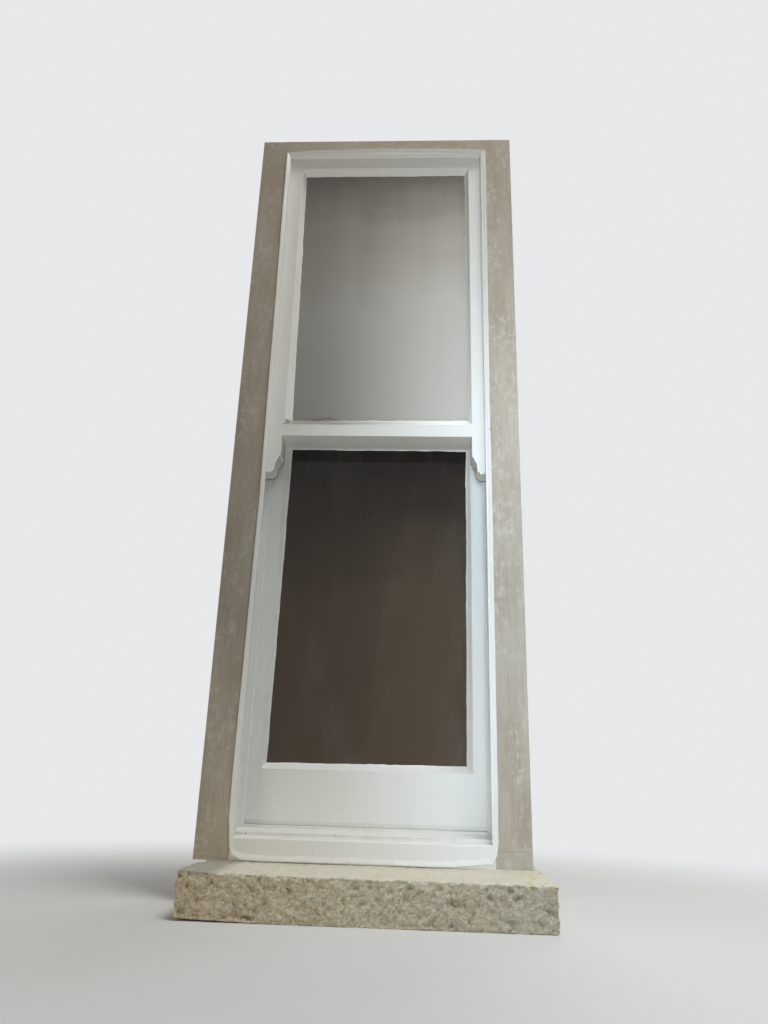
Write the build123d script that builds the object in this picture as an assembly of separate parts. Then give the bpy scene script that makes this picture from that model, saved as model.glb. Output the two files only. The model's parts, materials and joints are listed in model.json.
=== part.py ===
from build123d import *
import os

# Sliding sash window in a weight-box frame on a stone sub-sill.
# Millimetres. X runs across the window, Y runs from the street (-) into the room (+), Z is up.
# The origin lies on the stone's underside, midway between the jambs, under the street face of the linings.

# Opening and stone
opening_w = 490.0  # clear width between the pulley stiles, which is the width of the brick opening
stone_len = 600.0
stone_shift = 19.0  # the stone was laid this far to the right of the window's middle
stone_reach = 181.0  # from the linings' face out to the stone's front
stone_back = 110.0  # from the linings' face in to the stone's back edge
stone_t = 71.0
stone_fall = 2.0  # fall of the top towards the street
stone_arris = 4.0
throat_w = 10.0  # drip groove under the front edge
throat_d = 6.0
throat_in = 20.0

# Box frame
lining_t = 15.0
lining_lip = 12.0  # how far the outer linings stand into the opening
lining_over_head = 28.5  # linings stand this far above the head's underside
pulley_stile_t = 18.0
box_w = 36.0  # room for a weight between pulley stile and back lining
back_lining_t = 5.0
head_t = 22.0
housing_d = 6.0  # depth of the trench that holds the top of each pulley stile
inner_lining_t = 15.0

# Beads
bead_t = 10.0
bead_proj = 14.0  # beads stand this far into the opening
bead_groove = 6.0
bead_round = 1.5
staff_t = 18.0
staff_round = 7.0
staff_sill_h = 30.0

# Timber sill, as heights above the stone and distances from the linings' face
sill_nose_h = 39.0
sill_nose_round = 3.0
sill_ledge_d = 20.0
sill_ledge_rise = 3.0
sill_riser = 5.0
sill_slope_d = 66.0
sill_slope_rise = 5.5
sill_step = 4.0
sill_seat_rise = 5.5

# Sashes
run_gap = 1.0  # between a sash and what it slides against
side_gap = 1.5  # between a sash's edge and the pulley stile
sash_t = 45.0
stile_w = 48.0
rebate_w = 10.0
rebate_d = 19.0
rail_rebate_h = 13.0
ovolo_r = 10.0
ovolo_y = 31.0  # from a sash's street face to where the ovolo begins
glass_t = 3.0
glass_play = 2.0
putty_land = 0.6
tenon_t = 14.0
tenon_l = 26.0
tenon_h_share = 0.6
mortise_play = 1.0
top_rail_h = 50.0
top_gap = 1.5
meet_h = 41.0
meet_z = 845.0  # underside of the meeting rails above the stone
meet_front_bevel = 1.0
bevel_top = 9.0
bevel_gap = 1.0
bottom_rail_h = 114.0
foot_gap = 0.8
foot_chamfer_h = 8.0
foot_chamfer_d = 3.0
frame_h = 1612.5  # from the stone's bed to the underside of the head
horn_l = 86.0
horn_end_w = 26.0
horn_neck = 46.0  # straight part under the rail
horn_ogee_w = 9.5
horn_ogee_h = 15.0
horn_ogee_r = 11.0
horn_toe_r = 5.0
glass_groove_d = 9.0
glass_groove_gap = 0.3

# Travel, which ends with the fastener's lever still clear of the upper sash's top rail
lower_travel = 655.0
upper_travel = 660.0

# Pulleys, cords and weights
pulley_below_head = 77.5
pulley_pitch_r = 20.0
pulley_flange = 2.5
pulley_w = 9.0
cord_r = 3.0
cord_gap = 0.3
cord_in = 4.0  # cord's middle from the pulley stile's face
axle_r = 3.0
axle_fit = 0.05
rivet_fit = 0.02
case_plate_l = 100.0
case_plate_w = 25.0
case_plate_t = 3.0
cheek_t = 2.2
cheek_gap = 0.5
cheek_r = 11.0
case_fit = 0.3
slot_gap = 1.5
groove_w = 11.0
groove_d = 8.0
knot_r = 5.5
knot_l = 11.0
knot_gap = 0.5
knot_pocket_r = 8.5
knot_pocket_d = 18.0
knot_drop = 250.0  # knot's middle below the top of its sash
weight_r = 16.0
upper_weight_l = 500.0
lower_weight_l = 480.0
weight_neck_r = 9.0
weight_neck_l = 24.0
weight_bore_l = 30.0
weight_below_pulley = 75.0  # highest point that a weight's top reaches

# Pockets, through which the weights are reached
pocket_w = 41.0
pocket_l = 380.0
pocket_up = 160.0
pocket_kerf = 0.6
pocket_bevel = 10.0

# Mastic bead round the brick line
mastic_w = 10.0
mastic_t = 4.0
mastic_slope = 3.0
mastic_corner_r = 10.0
mastic_lift = 0.4
mastic_below_head = 2.5  # top corners below the head's underside
mastic_camber = 9.0

# Sash fastener and lifts
fast_plate = (56.0, 22.0, 3.0)
fast_boss_r = 8.0
fast_boss_h = 2.7
fast_pin_r = 3.0
fast_pin_fit = 0.05
fast_head_r = 6.0
fast_head_h = 1.7
lever_t = 5.0
lever_w = 9.0
lever_l = 50.0
lever_tail = 21.0
lever_hub_r = 8.0
lever_knob_r = 5.5
lever_play = 0.3
keep_plate = (40.0, 21.0, 3.0)
keep_wall = 4.0
keep_roof_t = 3.0
keep_room = 3.5
lift_w = 28.0
lift_h = 52.0
lift_t = 2.5
lift_reach = 24.0
lift_x = 110.0
lift_up = 22.0  # lifts' foot above the sill's staff bead
lift_corner_r = 4.0

# Countersunk screws
screw_r = 1.6
screw_head_r = 3.2
screw_head_h = 1.8
screw_play = 0.1
case_screw_l = 14.0
case_screw_in = 9.0  # from the end of the face plate
fast_screw_l = 18.0
lift_screw_l = 14.0

# Worked-out places
half_open = opening_w / 2
stone_top = stone_t
lip_x = half_open - lining_lip
bead_x = half_open - bead_proj
stile_back = half_open + pulley_stile_t
box_far = stile_back + box_w
half_frame = box_far + back_lining_t
sash_half = half_open - side_gap
rebate_x = sash_half - stile_w + rebate_w
sight_x = sash_half - stile_w

upper_y = lining_t + run_gap
bead_y = upper_y + sash_t + run_gap
lower_y = bead_y + bead_t + run_gap
staff_y = lower_y + sash_t + run_gap
stile_in = staff_y + 2.0  # the staff bead covers the joint of stile and lining
frame_in = stile_in + inner_lining_t

head_z = stone_top + frame_h
frame_top = head_z + lining_over_head
lining_head_z = head_z - lining_lip
staff_head_z = head_z - bead_proj

nose_z = stone_top + sill_nose_h
ledge_z = nose_z + sill_ledge_rise
riser_z = ledge_z + sill_riser
slope_z = riser_z + sill_slope_rise
seat_z = slope_z + sill_step
sill_top = seat_z + sill_seat_rise

meet_low = stone_top + meet_z
meet_top = meet_low + meet_h
meet_arris = meet_top - rail_rebate_h
upper_top = head_z - top_gap
top_sight = upper_top - top_rail_h
top_arris = top_sight + rebate_w
seat_fall = sill_seat_rise / (staff_y - sill_slope_d)
foot_z = seat_z + (lower_y - sill_slope_d) * seat_fall + foot_gap
foot_in_z = foot_z + sash_t * seat_fall
bottom_sight = foot_z + bottom_rail_h
bottom_arris = bottom_sight - rail_rebate_h

pulley_z = head_z - pulley_below_head
cord_x = half_open - cord_in
pulley_x = cord_x + pulley_pitch_r
weight_x = pulley_x + pulley_pitch_r
pulley_r = pulley_pitch_r + pulley_flange
upper_mid = upper_y + sash_t / 2
lower_mid = lower_y + sash_t / 2
high_weight_top = pulley_z - weight_below_pulley


def board(x, y, z):
    """A squared board between two corners, each pair given as (low, high)."""
    size = Box(x[1] - x[0], y[1] - y[0], z[1] - z[0], align=(Align.MIN, Align.MIN, Align.MIN))
    return Pos(x[0], y[0], z[0]) * size


def across(points, x):
    """A solid whose outline in Y and Z runs across the window between two X places."""
    outline = make_face(Polyline(*[(x[0], y, z) for y, z in points], close=True))
    return extrude(outline, x[1] - x[0], dir=(1, 0, 0))


def flat(points, y):
    """A solid whose outline in X and Z runs from the first Y place to the second."""
    outline = make_face(Polyline(*[(x, y[0], z) for x, z in points], close=True))
    return extrude(outline, y[1] - y[0], dir=(0, 1, 0))


def rod(start, direction, radius, length):
    """A round rod from a point along a direction."""
    return extrude(Plane(start, z_dir=direction) * Circle(radius), length)


def other_side(solid):
    return mirror(solid, about=Plane.YZ)


def screw(head, way, length, play=0.0):
    """Countersunk screw with its head's middle at a point, or its hole when some play is given."""
    place = Plane(head, z_dir=way)
    low = (Align.CENTER, Align.CENTER, Align.MIN)
    cone = place * Cone(screw_head_r + play, screw_r + play, screw_head_h, align=low)
    return cone + rod(head, way, screw_r + play, length + play)


def drilled(solid, screws):
    for head, way, length in screws:
        solid = solid - screw(head, way, length, screw_play)
    return solid


def group(solids):
    return Compound(children=[Solid(s.solid().wrapped) for s in solids])


# Stone and timber sills


def make_stone_sill():
    x = (stone_shift - stone_len / 2, stone_shift + stone_len / 2)
    front = -stone_reach
    groove = front + throat_in
    points = [
        (front, 0),
        (groove, 0),
        (groove + throat_w * 0.2, throat_d),
        (groove + throat_w * 0.8, throat_d),
        (groove + throat_w, 0),
        (stone_back, 0),
        (stone_back, stone_t),
        (0, stone_t),
        (front, stone_t - stone_fall),
    ]
    stone = across(points, x)
    upper_edges = stone.edges().filter_by(lambda e: e.center().Z > stone_t / 2)
    arris = upper_edges.filter_by(Axis.X).sort_by(Axis.Y)[0]
    return fillet(arris, stone_arris)


def make_timber_sill():
    points = [
        (0, stone_top),
        (0, nose_z),
        (sill_ledge_d, ledge_z),
        (sill_ledge_d, riser_z),
        (sill_slope_d, slope_z),
        (sill_slope_d, seat_z),
        (staff_y, sill_top),
        (frame_in, sill_top),
        (frame_in, stone_top),
    ]
    sill = across(points, (-half_frame, half_frame))
    nose = sill.edges().filter_by(Axis.X).filter_by(lambda e: abs(e.center().Y) < 0.01)
    return fillet(nose.sort_by(Axis.Z)[-1], sill_nose_round)


# Linings, head and pulley stiles


def make_outer_lining(sill):
    lining = board((lip_x, half_frame), (0, lining_t), (nose_z - sill_nose_round * 2, frame_top))
    return lining - sill


def make_outer_lining_head():
    return board((-lip_x, lip_x), (0, lining_t), (lining_head_z, frame_top))


def make_inner_lining():
    return board((half_open, half_frame), (stile_in, frame_in), (sill_top, frame_top))


def make_inner_lining_head():
    return board((-half_open, half_open), (stile_in, frame_in), (head_z, frame_top))


def make_back_lining(sill):
    lining = board((box_far, half_frame), (lining_t, stile_in), (nose_z, head_z))
    return lining - sill


def bead_channel_head():
    return board((-half_open, half_open), (bead_y, bead_y + bead_t), (head_z, head_z + bead_groove))


def make_head_board():
    head = board((-half_frame, half_frame), (lining_t, stile_in), (head_z, head_z + head_t))
    trench = board((half_open, stile_back), (lining_t, stile_in), (head_z, head_z + housing_d))
    return head - trench - other_side(trench) - bead_channel_head()


def pocket_outline(gap):
    """The bevelled pocket piece in X and Z, larger all round by the gap."""
    low = sill_top + pocket_up - gap
    high = sill_top + pocket_up + pocket_l + gap
    return [
        (half_open, low),
        (stile_back, low + pocket_bevel),
        (stile_back, high + pocket_bevel),
        (half_open, high),
    ]


def make_pocket_piece(gap=0.0):
    y = (bead_y + bead_t, bead_y + bead_t + pocket_w)
    return flat(pocket_outline(gap), (y[0] + pocket_kerf - gap, y[1] + gap))


def case_plate(mid_y, play=0.0):
    """The pulley case's face plate, flush in the pulley stile, or its recess when play is given."""
    half_y = case_plate_w / 2 + play
    half_z = case_plate_l / 2 + play
    x = (half_open, half_open + case_plate_t)
    return board(x, (mid_y - half_y, mid_y + half_y), (pulley_z - half_z, pulley_z + half_z))


def case_screws(mid_y):
    reach = case_plate_l / 2 - case_screw_in
    return [((half_open, mid_y, pulley_z + z), (1, 0, 0), case_screw_l) for z in (-reach, reach)]


def make_pulley_stile(sill):
    stile = board((half_open, stile_back), (lining_t, stile_in), (nose_z, head_z + housing_d))
    stile = stile - sill
    groove = board((half_open, half_open + bead_groove), (bead_y, bead_y + bead_t), (nose_z, head_z))
    stile = stile - groove - make_pocket_piece(pocket_kerf)
    half_cheeks = pulley_w / 2 + cheek_gap + cheek_t + case_fit
    for mid_y in (upper_mid, lower_mid):
        recess = case_plate(mid_y, case_fit)
        slot_z = pulley_r + slot_gap + case_fit
        slot = board(
            (half_open, stile_back),
            (mid_y - half_cheeks, mid_y + half_cheeks),
            (pulley_z - slot_z, pulley_z + slot_z),
        )
        stile = drilled(stile - recess - slot, case_screws(mid_y))
    return stile


# Beads


def make_parting_bead(sill):
    x = (bead_x, half_open + bead_groove)
    bead = board(x, (bead_y, bead_y + bead_t), (nose_z, head_z))
    nosing = bead.edges().filter_by(Axis.Z).sort_by(Axis.X)[:2]
    return fillet(nosing, bead_round) - sill


def make_parting_bead_head():
    y = (bead_y, bead_y + bead_t)
    bead = board((-bead_x, bead_x), y, (staff_head_z, head_z + bead_groove))
    ends = board((-half_open, half_open), y, (head_z, head_z + bead_groove))
    nosing = bead.edges().filter_by(Axis.X).sort_by(Axis.Z)[:2]
    return fillet(nosing, bead_round) + ends


def staff_outline():
    """Staff bead's section: depth from the stile's face, then distance into the room."""
    back = Polyline((0, staff_t), (0, 0), (bead_proj, 0), (bead_proj, staff_t - staff_round))
    nose = RadiusArc((bead_proj, staff_t - staff_round), (bead_proj - staff_round, staff_t), -staff_round)
    foot = Line((bead_proj - staff_round, staff_t), (0, staff_t))
    return make_face(Curve() + [back, nose, foot])


def make_staff_bead():
    plane = Plane((half_open, staff_y, sill_top), x_dir=(-1, 0, 0), z_dir=(0, 0, 1))
    section = plane * mirror(staff_outline(), about=Plane.XZ)
    bead = extrude(section, head_z - sill_top, dir=(0, 0, 1))
    mitre = flat(
        [(bead_x, staff_head_z), (half_open, head_z), (bead_x, head_z)],
        (staff_y, staff_y + staff_t),
    )
    foot = board((bead_x, half_open), (staff_y, staff_y + staff_t), (sill_top, sill_top + staff_sill_h))
    return bead - mitre - foot


def make_staff_bead_head():
    plane = Plane((-half_open, staff_y, head_z), x_dir=(0, 0, -1), z_dir=(1, 0, 0))
    section = plane * staff_outline()
    bead = extrude(section, opening_w, dir=(1, 0, 0))
    keep = flat(
        [(-half_open, head_z), (-bead_x, staff_head_z), (bead_x, staff_head_z), (half_open, head_z)],
        (staff_y, staff_y + staff_t),
    )
    return bead & keep


def make_staff_bead_sill():
    z = (sill_top, sill_top + staff_sill_h)
    bead = board((-half_open, half_open), (staff_y, staff_y + staff_t), z)
    nose = bead.edges().filter_by(Axis.X).sort_by(Axis.Z)[-2:].sort_by(Axis.Y)[-1]
    return fillet(nose, staff_round)


def make_mastic():
    """Bead of mastic that closed the joint of frame and brickwork, cambered at the head."""

    def ring_outline(inset, corner):
        half = half_open - inset
        low = stone_top + mastic_lift + inset
        high = head_z - mastic_below_head - inset
        rise = high + mastic_camber
        left = Line((-half, low + corner), (-half, high))
        head = ThreePointArc((-half, high), (0, rise), (half, high))
        right = Line((half, high), (half, low + corner))
        turn_right = RadiusArc((half, low + corner), (half - corner, low), corner)
        foot = Line((half - corner, low), (-half + corner, low))
        turn_left = RadiusArc((-half + corner, low), (-half, low + corner), corner)
        return make_face(Curve() + [left, head, right, turn_right, foot, turn_left])

    street = Plane((0, 0, 0), x_dir=(1, 0, 0), z_dir=(0, -1, 0))
    outer = extrude(street * ring_outline(0.0, mastic_corner_r), mastic_t)
    narrow = ring_outline(mastic_w, mastic_corner_r / 2)
    wide = ring_outline(mastic_w - mastic_slope, mastic_corner_r / 2 + mastic_slope)
    hole = loft([street * narrow, Pos(0, -mastic_t, 0) * (street * wide)])
    return outer - hole


# Sash members


def lip_outline(width):
    """Section of the moulded lip behind the glass: across the lip, then depth from the street face."""
    start = Polyline((0, rebate_d), (width, rebate_d), (width, ovolo_y))
    curve = RadiusArc((width, ovolo_y), (width - ovolo_r, ovolo_y + ovolo_r), -ovolo_r)
    if width > ovolo_r:
        close = Polyline((width - ovolo_r, ovolo_y + ovolo_r), (0, ovolo_y + ovolo_r), (0, rebate_d))
    else:
        close = Line((0, ovolo_y + ovolo_r), (0, rebate_d))
    return make_face(Curve() + [start, curve, close])


def stile_lip(street_y, z_low, z_high, cut_low, cut_high):
    """Lip of a right-hand stile, with its ends cut to the slopes of the rails' lips."""
    plane = Plane((rebate_x, street_y, z_low), x_dir=(-1, 0, 0), z_dir=(0, 0, 1))
    section = plane * mirror(lip_outline(rebate_w), about=Plane.XZ)
    lip = extrude(section, z_high - z_low, dir=(0, 0, 1))
    keep = flat(
        [(rebate_x, z_low), (sight_x, z_low + cut_low), (sight_x, z_high - cut_high), (rebate_x, z_high)],
        (street_y, street_y + sash_t),
    )
    return lip & keep


def rail_lip(street_y, z_root, height, upward):
    """Lip of a rail, mitred to the stiles' lips."""
    way = 1 if upward else -1
    plane = Plane((-rebate_x, street_y, z_root), x_dir=(0, 0, way), z_dir=(-way, 0, 0))
    section = plane * lip_outline(height)
    lip = extrude(section, 2 * rebate_x, dir=(1, 0, 0))
    tip = z_root + way * height
    keep = flat(
        [(-rebate_x, z_root), (-sight_x, tip), (sight_x, tip), (rebate_x, z_root)],
        (street_y, street_y + sash_t),
    )
    return lip & keep


def tenon(street_y, z_low, z_high, play=0.0):
    """Right-hand tenon of a rail, or its mortise when some play is given."""
    mid_y = street_y + sash_t / 2
    mid_z = (z_low + z_high) / 2
    half_z = (z_high - z_low) * tenon_h_share / 2
    x = (rebate_x, rebate_x + tenon_l + play)
    return board(x, (mid_y - tenon_t / 2, mid_y + tenon_t / 2), (mid_z - half_z, mid_z + half_z))


def cord_groove(street_y, sash_top):
    """Groove in a right-hand stile's edge for the cord, ending in the pocket for its knot."""
    mid_y = street_y + sash_t / 2
    knot_z = sash_top - knot_drop
    y = (mid_y - groove_w / 2, mid_y + groove_w / 2)
    groove = board((sash_half - groove_d, sash_half), y, (knot_z, sash_top))
    pocket = rod((sash_half, mid_y, knot_z), (-1, 0, 0), knot_pocket_r, knot_pocket_d)
    return groove + pocket


def horn_cut(street_y):
    """What is cut away below the meeting rail to leave the ogee horn of a right-hand stile."""
    low = meet_low - horn_l
    neck_z = meet_low - horn_neck
    waist_z = neck_z - horn_ogee_h
    waist_x = rebate_x + horn_ogee_w
    mid = ((rebate_x + waist_x) / 2, (neck_z + waist_z) / 2)
    end_x = sash_half - horn_end_w
    left = sight_x - 1
    straight = Polyline((left, low), (left, meet_low), (rebate_x, meet_low), (rebate_x, neck_z))
    belly = RadiusArc((rebate_x, neck_z), mid, horn_ogee_r)
    hollow = RadiusArc(mid, (waist_x, waist_z), -horn_ogee_r)
    cheek = Line((waist_x, waist_z), (end_x, low + horn_toe_r))
    toe = RadiusArc((end_x, low + horn_toe_r), (end_x + horn_toe_r, low), horn_toe_r)
    foot = Line((end_x + horn_toe_r, low), (left, low))
    face = Plane((0, street_y, 0), x_dir=(1, 0, 0), z_dir=(0, -1, 0))
    outline = face * make_face(Curve() + [straight, belly, hollow, cheek, toe, foot])
    return extrude(outline, sash_t, dir=(0, 1, 0))


def make_upper_stile():
    low = meet_low - horn_l
    body = board((rebate_x, sash_half), (upper_y, upper_y + sash_t), (low, upper_top))
    lip = stile_lip(upper_y, meet_arris, top_arris, rail_rebate_h, rebate_w)
    stile = body + lip - horn_cut(upper_y) - cord_groove(upper_y, upper_top)
    stile = stile - tenon(upper_y, meet_low, meet_arris, mortise_play)
    return stile - tenon(upper_y, top_arris, upper_top, mortise_play)


def with_tenons(rail, street_y, z_low, z_high):
    peg = tenon(street_y, z_low, z_high)
    return rail + peg + other_side(peg)


def make_top_rail():
    body = board((-rebate_x, rebate_x), (upper_y, upper_y + sash_t), (top_arris, upper_top))
    rail = body + rail_lip(upper_y, top_arris, rebate_w, upward=False)
    return with_tenons(rail, upper_y, top_arris, upper_top)


def make_upper_meeting_rail():
    back = upper_y + sash_t
    bevel_low = lower_y - bevel_gap - meet_front_bevel
    bevel_high = lower_y - bevel_top - bevel_gap
    body = board((-rebate_x, rebate_x), (upper_y, back), (meet_low, meet_arris))
    lip = board((-sight_x, sight_x), (upper_y + rebate_d, back), (meet_arris, meet_top))
    slope = across(
        [(back, meet_low), (bevel_low, meet_low), (bevel_high, meet_top), (back, meet_top)],
        (-bead_x + 2 * run_gap, bead_x - 2 * run_gap),
    )
    ends = flat(
        [(-rebate_x, meet_arris), (-sight_x, meet_top), (sight_x, meet_top), (rebate_x, meet_arris)],
        (upper_y + rebate_d, back),
    )
    rail = with_tenons(body + lip + ends + slope, upper_y, meet_low, meet_arris)
    return drilled(rail, keep_screws())


def make_lower_stile(sill_foot):
    body = board((rebate_x, sash_half), (lower_y, lower_y + sash_t), (slope_z, meet_top))
    lip = stile_lip(lower_y, bottom_arris, meet_low, rail_rebate_h, 0.0)
    stile = body + lip - sill_foot - cord_groove(lower_y, meet_top)
    stile = stile - tenon(lower_y, foot_z, bottom_arris, mortise_play)
    return stile - tenon(lower_y, meet_low, meet_top, mortise_play)


def make_bottom_rail(sill_foot):
    body = board((-rebate_x, rebate_x), (lower_y, lower_y + sash_t), (slope_z, bottom_arris))
    rail = body + rail_lip(lower_y, bottom_arris, rail_rebate_h, upward=True) - sill_foot
    rail = with_tenons(rail, lower_y, foot_z, bottom_arris)
    return drilled(rail, lift_screws(lift_x) + lift_screws(-lift_x))


def make_sill_foot():
    """What is cut off under the lower sash: the sill's slope, and a chamfer along the street face."""
    back = lower_y + sash_t
    points = [
        (lower_y, 0),
        (lower_y, foot_z + foot_chamfer_h),
        (lower_y + foot_chamfer_d, foot_z),
        (back, foot_in_z),
        (back, 0),
    ]
    return across(points, (-half_open, half_open))


def glass_groove():
    y = lower_y + rebate_d
    half = rebate_x - glass_play + glass_groove_gap
    place = (y - glass_t - glass_groove_gap, y + glass_groove_gap)
    return board((-half, half), place, (meet_low, meet_low + glass_groove_d))


def make_lower_meeting_rail():
    bevel_low = lower_y - meet_front_bevel
    bevel_high = lower_y - bevel_top
    body = board((-rebate_x, rebate_x), (lower_y, lower_y + sash_t), (meet_low, meet_top))
    slope = across(
        [(lower_y, meet_low), (bevel_low, meet_low), (bevel_high, meet_top), (lower_y, meet_top)],
        (-bead_x + 2 * run_gap, bead_x - 2 * run_gap),
    )
    rail = with_tenons(body + slope - glass_groove(), lower_y, meet_low, meet_top)
    return drilled(rail, base_screws())


def make_glass(street_y, z_low, z_high):
    half = rebate_x - glass_play
    y = (street_y + rebate_d - glass_t, street_y + rebate_d)
    return board((-half, half), y, (z_low, z_high))


def make_putty(street_y, z_low, z_high, low_w, high_w):
    """Sloping fillet of putty round a pane, in one ring or open at the top."""
    glass_y = street_y + rebate_d - glass_t
    front = street_y + putty_land
    body = board((-rebate_x, rebate_x), (front, glass_y), (z_low, z_high))
    edge = putty_land if high_w else -1.0
    wide = [(rebate_x - putty_land), (z_low + putty_land), (z_high - edge)]
    tight = [sight_x, z_low + low_w, z_high - (high_w if high_w else -1.0)]

    def pane(y, half, low, high):
        corners = [(-half, y, low), (half, y, low), (half, y, high), (-half, y, high)]
        return make_face(Polyline(*corners, close=True))

    hole = loft([pane(front, *wide), pane(glass_y, *tight)])
    return body - hole


# Pulleys, cords and weights


def make_pulley_case(mid_y):
    plate = case_plate(mid_y)
    window_z = pulley_r + slot_gap
    window_y = pulley_w / 2 + cheek_gap
    window = board(
        (half_open - 1, half_open + case_plate_t + 1),
        (mid_y - window_y, mid_y + window_y),
        (pulley_z - window_z, pulley_z + window_z),
    )
    case = plate - window
    for side in (-1, 1):
        inner = mid_y + side * window_y
        span = sorted((inner, inner + side * cheek_t))
        web = board((half_open + case_plate_t, pulley_x), span, (pulley_z - cheek_r, pulley_z + cheek_r))
        boss = rod((pulley_x, span[0], pulley_z), (0, 1, 0), cheek_r, cheek_t)
        case = case + web + boss
    return drilled(case, case_screws(mid_y)) - axle(mid_y, rivet_fit)


def axle(mid_y, extra=0.0):
    half = pulley_w / 2 + cheek_gap + cheek_t
    return rod((pulley_x, mid_y - half, pulley_z), (0, 1, 0), axle_r + extra, 2 * half)


def make_pulley_wheel(mid_y):
    """Wheel with a grooved rim for the cord, and a thinner web between hub and rim."""
    half = pulley_w / 2
    web = half * 0.45
    hub_r = axle_r + 3.5
    seat_r = pulley_pitch_r - cord_r - cord_gap
    seat = cord_r * 0.6
    rim_in = seat_r - 3.0
    side = [
        (axle_r + axle_fit, half),
        (hub_r, half),
        (hub_r, web),
        (rim_in, web),
        (rim_in, half),
        (pulley_r, half),
        (seat_r, seat),
    ]
    section = [(r, w) for r, w in side] + [(r, -w) for r, w in reversed(side)]
    plane = Plane((pulley_x, mid_y, pulley_z), x_dir=(1, 0, 0), z_dir=(0, 0, 1))
    outline = plane * make_face(Polyline(*section, close=True))
    return revolve(outline, Axis((pulley_x, mid_y, pulley_z), (0, 1, 0)), 360)


def make_cord(mid_y, sash_top, weight_top):
    """Sash cord from its knot, over the pulley and down into the weight."""
    knot_z = sash_top - knot_drop
    rise = Line((cord_x, mid_y, knot_z), (cord_x, mid_y, pulley_z))
    over = ThreePointArc(
        (cord_x, mid_y, pulley_z),
        (pulley_x, mid_y, pulley_z + pulley_pitch_r),
        (weight_x, mid_y, pulley_z),
    )
    end_z = weight_top - weight_bore_l - knot_l / 2
    fall = Line((weight_x, mid_y, pulley_z), (weight_x, mid_y, end_z))
    cord = sweep(Plane((cord_x, mid_y, knot_z)) * Circle(cord_r), path=Wire([rise, over, fall]))
    knot = Cylinder(knot_r, knot_l)
    sash_knot = Pos(sash_half - knot_r - knot_gap, mid_y, knot_z) * knot
    weight_knot = Pos(weight_x, mid_y, weight_top - weight_bore_l - knot_l / 2 - knot_gap) * knot
    return cord + sash_knot + weight_knot


def make_weight(mid_y, top, length):
    """Round iron weight with a tapered neck, bored for the cord, with a side opening for its knot."""
    foot = top - length
    points = [
        (0, foot),
        (weight_r - 4, foot),
        (weight_r, foot + 4),
        (weight_r, top - weight_neck_l),
        (weight_neck_r, top),
        (0, top),
    ]
    section = make_face(Polyline(*[(weight_x + r, mid_y, z) for r, z in points], close=True))
    body = revolve(section, Axis((weight_x, mid_y, 0), (0, 0, 1)), 360)
    bore = rod((weight_x, mid_y, top - weight_bore_l), (0, 0, 1), cord_r + cord_gap, weight_bore_l + 1)
    room = knot_r + knot_gap
    side = board(
        (weight_x - weight_r, weight_x + room),
        (mid_y - room, mid_y + room),
        (top - weight_bore_l - knot_l - 2 * knot_gap, top - weight_bore_l),
    )
    return body - bore - side


# Sash fastener and lifts

fast_y = lower_y + sash_t / 2 - 2.0
lever_z = meet_top + fast_plate[2] + fast_boss_h + lever_play


def base_screws():
    reach = fast_plate[0] / 2 - fast_plate[1] / 2 + 2.0
    top = meet_top + fast_plate[2]
    return [((x, fast_y, top), (0, 0, -1), fast_screw_l) for x in (-reach, reach)]


def make_fastener_base():
    length, width, thick = fast_plate
    plane = Plane((0, fast_y, meet_top))
    base = extrude(plane * SlotOverall(length, width), thick)
    boss = rod((0, fast_y, meet_top + thick), (0, 0, 1), fast_boss_r, fast_boss_h)
    pin_l = fast_boss_h + lever_t + 2 * lever_play
    pin = rod((0, fast_y, meet_top + thick), (0, 0, 1), fast_pin_r, pin_l + fast_head_h)
    cap = rod((0, fast_y, meet_top + thick + pin_l), (0, 0, 1), fast_head_r, fast_head_h)
    return drilled(base, base_screws()) + boss + pin + cap


def make_fastener_lever():
    """Lever that lies along the rail when unlocked, with a finger knob on its tail."""
    arm = board((0, lever_l), (fast_y - lever_w / 2, fast_y + lever_w / 2), (lever_z, lever_z + lever_t))
    tip = rod((lever_l, fast_y, lever_z), (0, 0, 1), lever_w / 2, lever_t)
    tail = board((-lever_tail, 0), (fast_y - lever_w / 2, fast_y + lever_w / 2), (lever_z, lever_z + lever_t))
    hub = rod((0, fast_y, lever_z), (0, 0, 1), lever_hub_r, lever_t)
    stem = rod((-lever_tail, fast_y, lever_z), (0, 0, 1), lever_w / 2, lever_t + 4)
    knob = Pos(-lever_tail, fast_y, lever_z + lever_t + 7) * Sphere(lever_knob_r)
    bore = rod((0, fast_y, lever_z - 1), (0, 0, 1), fast_pin_r + fast_pin_fit, lever_t + 2)
    return arm + tip + tail + hub + stem + knob - bore


keep_y = fast_y - lever_l + lever_w / 2 + 2.0


def keep_screws():
    reach = keep_plate[0] / 2 - screw_head_r - 1.3
    top = meet_top + keep_plate[2]
    return [((x, keep_y, top), (0, 0, -1), fast_screw_l) for x in (-reach, reach)]


def make_fastener_keep():
    """Keep on the upper sash: a plate with a bridge that the lever swings under."""
    length, width, thick = keep_plate
    mid_y = keep_y
    plate = board((-length / 2, length / 2), (mid_y - width / 2, mid_y + width / 2), (meet_top, meet_top + thick))
    roof_z = lever_z + lever_t + 2.0
    wall_x = -lever_w / 2 - keep_room
    wall = board((wall_x - keep_wall, wall_x), (mid_y - 7, mid_y + 7), (meet_top + thick, roof_z))
    roof = board((wall_x - keep_wall, lever_w), (mid_y - 7, mid_y + 7), (roof_z, roof_z + keep_roof_t))
    edge = roof.edges().filter_by(Axis.Y).sort_by(Axis.Z)[-2:].sort_by(Axis.X)[0]
    return drilled(plate, keep_screws()) + wall + fillet(edge, keep_roof_t * 0.9)


lift_foot = sill_top + staff_sill_h + lift_up


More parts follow.
